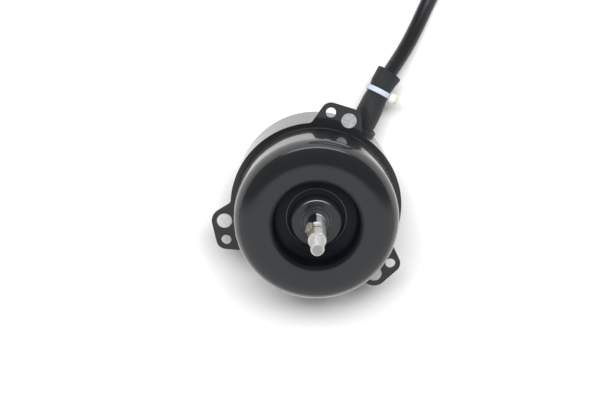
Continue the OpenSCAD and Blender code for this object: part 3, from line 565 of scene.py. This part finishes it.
# Painted highlights: thin light lines at the pocket's foot, on its top edge and on the eye's rim, the last two only on
# the side towards the camera.
for ring_radius, width, strength, from_up in ((13.6, 0.16, 0.22, -30), (10.3, 0.3, 1.0, 7.6), (7.2, 0.24, 1.4, 6.2)):
    away = math_of(tree, "ABSOLUTE", math_of(tree, "SUBTRACT", radius, ring_radius), 0)
    line = math_of(tree, "MULTIPLY", band(tree, away, width, 0.3 * width), strength)
    line = math_of(tree, "MULTIPLY", line, band(tree, upward, from_up, from_up + 3))
    rings = line if rings is None else math_of(tree, "MAXIMUM", rings, line)
rings = math_of(tree, "MULTIPLY", rings, band(tree, height, 15, 16))
# Painted shade: the body colour is darker down in the well, where the recess is shaded.
body = add(tree, "ShaderNodeMix", {"data_type": "RGBA"}, {"Factor": shaded_well})
body.inputs["A"].default_value = linear("1c1e20")
body.inputs["B"].default_value = linear("13161a")
painted_rim_highlights = add(tree, "ShaderNodeMix", {"data_type": "RGBA"}, {"Factor": rings})
tree.links.new(body.outputs["Result"], painted_rim_highlights.inputs["A"])
painted_rim_highlights.inputs["B"].default_value = linear("9da1a4")
tree.links.new(painted_rim_highlights.outputs["Result"], dusty.inputs["A"])
tree.links.new(dusty.outputs["Result"], shader.inputs["Base Color"])
tree.links.new(add(tree, "ShaderNodeMapRange", inputs={"Value": shaded_well, "To Min": 1.0, "To Max": 0.1})
               .outputs["Result"], shader.inputs["Coat Weight"])
for name in ("front_shell", "rear_shell"):
    paint(nodes[name], stove_enamel)

# Pressed flush into each large ear hole lies a zinc-plated steel insert: a flat disc with
# a broken edge, matt from its plating. A small fastener, so it is made here.
insert_r, insert_t, insert_edge = 3.56 * MM, 1.1 * MM, 0.25 * MM
large_pitch_r, hole_turn = 43.3 * MM, 5.85
zinc, tree, shader = surface("zinc_plated_steel", {"Metallic": 0.1, "Roughness": 0.55})
place = add(tree, "ShaderNodeTexCoord").outputs["Object"]
spangle = add(tree, "ShaderNodeTexNoise", inputs={"Vector": place, "Scale": 600, "Detail": 4}).outputs["Fac"]
# Painted shade: an insert takes the dull pair of tones the further it lies towards the camera's side, so the insert in
# the ear on that side is darkest.
camera_side_shade = band(tree, math_of(tree, "ADD", along_way(tree, place, outward), math_of(tree, "MULTIPLY", spangle, 6)),
                 26, 46)
lit_and_shaded_tones = []
for dark, light in (("a6a8aa", "e2e2e3"), ("686b70", "c4c6c9")):
    shade = add(tree, "ShaderNodeMix", {"data_type": "RGBA"}, {"Factor": spangle})
    shade.inputs["A"].default_value = linear(dark)
    shade.inputs["B"].default_value = linear(light)
    lit_and_shaded_tones.append(shade.outputs["Result"])
tone = add(tree, "ShaderNodeMix", {"data_type": "RGBA"}, {"Factor": camera_side_shade})
tree.links.new(lit_and_shaded_tones[0], tone.inputs["A"])
tree.links.new(lit_and_shaded_tones[1], tone.inputs["B"])
tree.links.new(tone.outputs["Result"], shader.inputs["Base Color"])
insert_section = [(0, 0.04 * MM), (insert_r - insert_edge, 0.04 * MM), (insert_r, 0.04 * MM - insert_edge),
                  (insert_r, insert_edge - insert_t), (insert_r - insert_edge, -insert_t), (0, -insert_t)]
built = bmesh.new()
for ear in range(3):
    turn = math.radians(90 - hole_turn + 120 * ear)
    at = Vector((large_pitch_r * math.cos(turn), large_pitch_r * math.sin(turn), 0))
    line = [built.verts.new(at + Vector((r, 0, z))) for r, z in insert_section]
    edges = [built.edges.new(pair) for pair in zip(line, line[1:])]
    bmesh.ops.spin(built, geom=line + edges, cent=at, axis=(0, 0, 1), angle=math.tau, steps=48)
bmesh.ops.remove_doubles(built, verts=built.verts, dist=1e-6)
bmesh.ops.recalc_face_normals(built, faces=built.faces)
insert_mesh = bpy.data.meshes.new("ear_inserts")
built.to_mesh(insert_mesh)
built.free()
shown("ear_inserts", insert_mesh, zinc, "housing", smooth=False)

# Bearings: ground steel rings with pressed shields, grease-yellow where they run. What
# shows of the front one in the pocket's eye was sprayed over with the shells' black.
ring_steel = mottled("ground_bearing_steel", "a6a9ad", "c8cbce", 800, {"Metallic": 1.0, "Roughness": 0.22}, 0.004)
ball_steel = mottled("polished_ball_steel", "cfd2d5", "e2e4e6", 300, {"Metallic": 1.0, "Roughness": 0.06})
cage_steel = mottled("pressed_cage_steel", "8f897a", "b3ad9c", 700, {"Metallic": 0.9, "Roughness": 0.4}, 0.01)
oversprayed = mottled("oversprayed_bearing_face", "1f2124", "3a3c3e", 500, {
    "Roughness": 0.38, "Coat Weight": 0.4, "Coat Roughness": 0.1}, 0.03)
for end, face in (("front", oversprayed), ("rear", ring_steel)):
    finish(end + "_bearing_outer_ring", ring_steel)
    finish(end + "_bearing_inner_ring", face)
    finish(end + "_bearing_balls", ball_steel)
    finish(end + "_bearing_cage", cage_steel)
    finish(end + "_bearing_shields", face)

# Inside the shells: stamped core sheets, slot film and wedges, varnished copper, a cast
# cage in the rotor, moulded spacers, oiled spring steel, a ceramic fuse and glass sleeves.
copper = {"Metallic": 0.85, "Roughness": 0.32, "Coat Weight": 0.5, "Coat Roughness": 0.15}
inner_finishes = {
    "core_steel": (mottled("stamped_core_sheet", "74777b", "9a9da0", 350, {
        "Metallic": 0.8, "Roughness": 0.5}, 0.03), ("stator_core", "rotor_core")),
    "slot_film": (mottled("polyester_slot_film", "ded8c4", "efe9d8", 200, {"Roughness": 0.35}), ("slot_liners",)),
    "wedge_board": (mottled("pressboard_wedge", "c8b06a", "e0cc8c", 500, {"Roughness": 0.8}, 0.02),
                    ("slot_wedges",)),
    "copper_wire": (mottled("varnished_copper_turns", "9c4f22", "c46c38", 650, copper, 0.25), ("main_winding",)),
    "copper_wire_dark": (mottled("dark_varnished_copper_turns", "8a421c", "b05c2e", 650, copper, 0.25),
                         ("auxiliary_winding",)),
    "fuse_body": (mottled("fired_ceramic", "d3cdb9", "e8e3d4", 500, {"Roughness": 0.7}, 0.01), ("thermal_fuse",)),
    "glass_sleeving": (mottled("braided_glass_sleeve", "e0d8bc", "f4efde", 1500, {"Roughness": 0.85}, 0.1),
                       ("splice_sleeves",)),
    "cage_aluminium": (mottled("cast_aluminium", "b4b7b9", "d2d5d7", 400, {
        "Metallic": 0.9, "Roughness": 0.45}, 0.05), ("rotor_cage",)),
    "nylon": (mottled("moulded_nylon_spacer", "dcdcd6", "eeeeea", 300, {"Roughness": 0.4}, 0.01),
              ("front_spacer", "rear_spacer")),
    "spring_steel": (mottled("oiled_spring_steel", "45484c", "64676b", 600, {
        "Metallic": 0.9, "Roughness": 0.35}, 0.01), ("front_retaining_ring", "rear_retaining_ring", "wave_washer")),
    "lead_insulation": (mottled("winding_lead_pvc", "b02a22", "cc4034", 300, {"Roughness": 0.4}), ("inner_leads",)),
}
for slot_name, (material, names) in inner_finishes.items():
    for name in names:
        finish(name, material)

# The motor stands on a white table. What its enamel mirrors was worked out from the
# photograph: a pale far side, dark on the side from which it is looked at, and a bright
# window low behind the camera. A wide, thin lamp gives the table's soft shadow.
table = bpy.data.objects.new("table_top", bpy.data.meshes.new("table_top"))
half_table = 2.5
table.data.from_pydata([(x, y, cad_low.z) for x, y in (
    (-half_table, -half_table), (half_table, -half_table), (half_table, half_table),
    (-half_table, half_table))], [], [(0, 1, 2, 3)])
bpy.context.collection.objects.link(table)
white_board, tree, shader = surface("white_table_board", {
    "Base Color": linear("f4f3f2"), "Roughness": 0.7, "Specular IOR Level": 0.1})
paint(table, white_board)

room = bpy.data.worlds.new("pale_room")
bpy.context.scene.world = room
room.cycles.sampling_method = "NONE"
room.use_nodes = True
tree = room.node_tree
towards = add(tree, "ShaderNodeTexCoord").outputs["Generated"]
height = add(tree, "ShaderNodeSeparateXYZ", inputs={"Vector": towards}).outputs["Z"]
to_camera_side = add(tree, "ShaderNodeVectorMath", {"operation": "DOT_PRODUCT"},
                     {0: towards, 1: outward}).outputs["Value"]
far_side = math_of(tree, "MULTIPLY", band(tree, to_camera_side, 0.12, -0.2), 0.82)
window = math_of(tree, "MULTIPLY", math_of(tree, "MULTIPLY", band(tree, height, 0.12, 0.08),
                 band(tree, to_camera_side, 0.8, 0.95)), 5.0)
mirrored = math_of(tree, "ADD", math_of(tree, "ADD", far_side, window), 0.05)
path = add(tree, "ShaderNodeLightPath")
level = add(tree, "ShaderNodeMix", {"data_type": "FLOAT"}, {"Factor": path.outputs["Is Glossy Ray"]})
level.inputs["A"].default_value = 0.2
tree.links.new(mirrored, level.inputs["B"])
background = tree.nodes["Background"]
background.inputs["Color"].default_value = linear("fbfcff")
tree.links.new(level.outputs["Result"], background.inputs["Strength"])

lamp_way = (math.cos(math.radians(63)) * outward + Vector((0, 0, math.sin(math.radians(63)))))
lamp = bpy.data.objects.new("window_lamp", bpy.data.lights.new("window_lamp", "AREA"))
lamp.data.shape = "RECTANGLE"
lamp.data.size, lamp.data.size_y, lamp.data.energy = 0.9, 0.3, 25
lamp_up = lamp_way.cross(camera_right)
lamp.matrix_world = Matrix((camera_right, -lamp_up, lamp_way)).transposed().to_4x4()
lamp.location = lamp_way * 1.3
lamp.visible_glossy = False
bpy.context.collection.objects.link(lamp)

# The tube in the ceiling that draws the bright stripe along the lead. The enamel's curved
# sides don't see it, so it lights the lead alone.
lead_pieces = bpy.data.collections.new("lead_pieces")
for piece in (cable, sleeve):
    lead_pieces.objects.link(piece)
tube_way = (Vector((0, 0, 1)) - 0.32 * camera_right + 0.1 * outward).normalized()
tube = bpy.data.objects.new("ceiling_tube", bpy.data.lights.new("ceiling_tube", "AREA"))
tube.data.size, tube.data.energy = 0.16, 5
tube.rotation_euler = tube_way.to_track_quat("Z", "Y").to_euler()
tube.location = tube_way * 1.2
tube.light_linking.receiver_collection = lead_pieces
bpy.context.collection.objects.link(tube)
